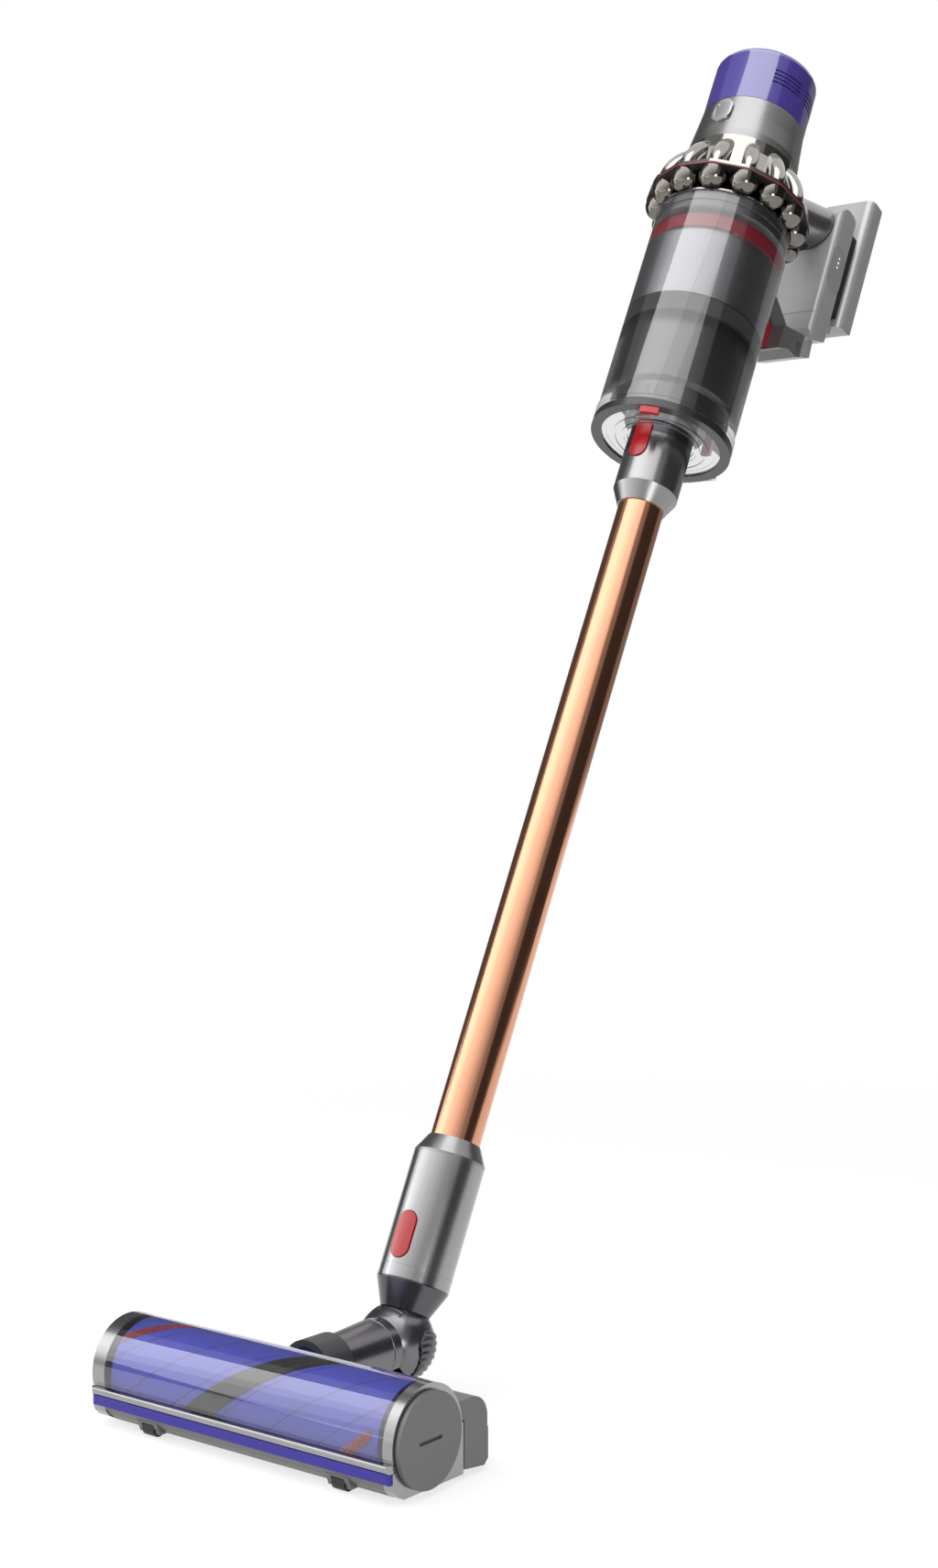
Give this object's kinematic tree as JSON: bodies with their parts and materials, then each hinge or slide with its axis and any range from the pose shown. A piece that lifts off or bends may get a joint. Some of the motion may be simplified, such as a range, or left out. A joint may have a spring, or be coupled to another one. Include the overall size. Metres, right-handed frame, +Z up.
{
  "type": "cordless stick vacuum cleaner",
  "caption": "Upright cordless stick vacuum with roller floor head, jointed neck, copper wand, clear cyclone bin, arched cyclone ducts and pistol grip battery handle.",
  "frame": {"origin": "middle of the bounding box's footprint, on the floor", "axes": "+Z up, +Y towards the back where the handle is, +X to the user's right along the brush roller when seen from the front"},
  "size_m": [0.256, 0.7878, 0.9966],
  "materials": {
    "grey_plastic": "moulded, fine matt texture",
    "dark_plastic": "dark moulded plastic",
    "silver_plastic": "metallic silver paint on plastic",
    "violet_plastic": "satin violet",
    "red_plastic": "satin red",
    "copper_metal": "copper-coloured anodised tube",
    "steel": "turned steel",
    "clear_plastic": "clear polycarbonate",
    "black_rubber": "black elastomer",
    "carbon_fibre": "black carbon fibre bristle",
    "red_bristle": "red nylon bristle",
    "filter_media": "pleated filter paper",
    "dark_glass": "dark smoked window"
  },
  "bodies": {
    "cleaner": {"upper_neck": "dark_plastic", "steel_pins": "steel", "neck_cuff": "silver_plastic", "lower_release_spring": "steel", "wand_lower_cuff": "silver_plastic", "wand_rings": "grey_plastic", "wand_tube": "copper_metal", "wand_upper_cuff": "silver_plastic", "upper_release_spring": "steel", "inlet_neck": "dark_plastic", "inlet_duct": "grey_plastic", "bin_tube": "clear_plastic", "bin_flap": "clear_plastic", "flap_seal": "black_rubber", "base_catch": "red_plastic", "shroud_skirt": "black_rubber", "shroud_mesh": "steel", "shroud_band": "red_plastic", "cyclone_collar": "grey_plastic", "bin_top_seal": "black_rubber", "cyclone_ring": "silver_plastic", "cyclone_gasket": "red_plastic", "cyclone_cones": "silver_plastic", "cyclone_crown": "silver_plastic", "motor_housing": "grey_plastic", "mode_slider": "silver_plastic", "motor_stator": "dark_plastic", "grip": "grey_plastic", "handle_frame": "grey_plastic", "trigger_spring": "steel", "battery_pack": "silver_plastic", "battery_cover": "silver_plastic", "led_window": "dark_glass", "frame_screws": "steel"},
    "lower_button": {"lower_release": "red_plastic"},
    "upper_button": {"upper_release": "red_plastic"},
    "rotor": {"impeller": "steel"},
    "filter": {"filter_cap": "violet_plastic", "filter_pleats": "filter_media"},
    "trigger": {"trigger": "red_plastic"},
    "bin_lever": {"bin_release": "red_plastic"},
    "neck": {"lower_neck": "dark_plastic", "neck_bellows": "black_rubber"},
    "head": {"head_shell": "grey_plastic", "sole_plate": "dark_plastic", "front_bumper": "silver_plastic", "bumper_strip": "violet_plastic", "clear_cover": "clear_plastic", "end_frame_left": "silver_plastic", "end_frame_right": "silver_plastic", "brush_motor": "dark_plastic", "sole_felt": "carbon_fibre", "wheel_axles": "steel"},
    "brush": {"brush_core": "violet_plastic", "bristles_red": "red_bristle", "bristles_black": "carbon_fibre"},
    "end_cap": {"end_cap": "grey_plastic"},
    "left_wheel": {"front_wheel_left": "black_rubber"},
    "right_wheel": {"front_wheel_right": "black_rubber"},
    "rear_axle": {"rear_rollers": "dark_plastic"}
  },
  "joints": [
    {"name": "lower_button_press", "type": "slide", "parent": "cleaner", "child": "lower_button", "axis": [0, 0.8918, -0.4524], "range_m": [0, 0.002], "stiffness_N_per_m": 400, "deforming": ["lower_release_spring"]},
    {"name": "upper_button_press", "type": "slide", "parent": "cleaner", "child": "upper_button", "axis": [0, 0.8918, -0.4524], "range_m": [0, 0.002], "stiffness_N_per_m": 400, "deforming": ["upper_release_spring"]},
    {"name": "rotor_spin", "type": "hinge", "parent": "cleaner", "child": "rotor", "pos_m": [0, 0.20458, 0.91548], "axis": [0, 0.4524, 0.8918], "continuous": true},
    {"name": "filter_twist", "type": "hinge", "parent": "cleaner", "child": "filter", "pos_m": [0, 0.22268, 0.95115], "axis": [0, 0.4524, 0.8918], "range_deg": [0, 20]},
    {"name": "trigger_pull", "type": "slide", "parent": "cleaner", "child": "trigger", "axis": [0, 0.0332, 0.9995], "range_m": [0, 0.005], "stiffness_N_per_m": 300, "deforming": ["trigger_spring"]},
    {"name": "bin_lever_push", "type": "slide", "parent": "cleaner", "child": "bin_lever", "axis": [0, -0.4524, -0.8918], "range_m": [0, 0.01], "stiffness_N_per_m": 250},
    {"name": "neck_pitch", "type": "hinge", "parent": "cleaner", "child": "neck", "pos_m": [0, -0.23871, 0.0417], "axis": [1, 0, 0], "range_deg": [-26, 55]},
    {"name": "head_swivel", "type": "hinge", "parent": "neck", "child": "head", "pos_m": [0, -0.30941, 0.0417], "axis": [0, 1, 0], "range_deg": [-60, 60]},
    {"name": "brush_spin", "type": "hinge", "parent": "head", "child": "brush", "pos_m": [0, -0.35941, 0.033], "axis": [1, 0, 0], "continuous": true},
    {"name": "end_cap_turn", "type": "hinge", "parent": "head", "child": "end_cap", "pos_m": [0.1245, -0.35941, 0.033], "axis": [1, 0, 0], "range_deg": [0, 90]},
    {"name": "left_wheel_roll", "type": "hinge", "parent": "head", "child": "left_wheel", "pos_m": [-0.08, -0.38241, 0.005], "axis": [1, 0, 0], "continuous": true},
    {"name": "right_wheel_roll", "type": "hinge", "parent": "head", "child": "right_wheel", "pos_m": [0.08, -0.38241, 0.005], "axis": [1, 0, 0], "continuous": true},
    {"name": "rear_roll", "type": "hinge", "parent": "head", "child": "rear_axle", "pos_m": [0, -0.30941, 0.007], "axis": [1, 0, 0], "continuous": true}
  ]
}
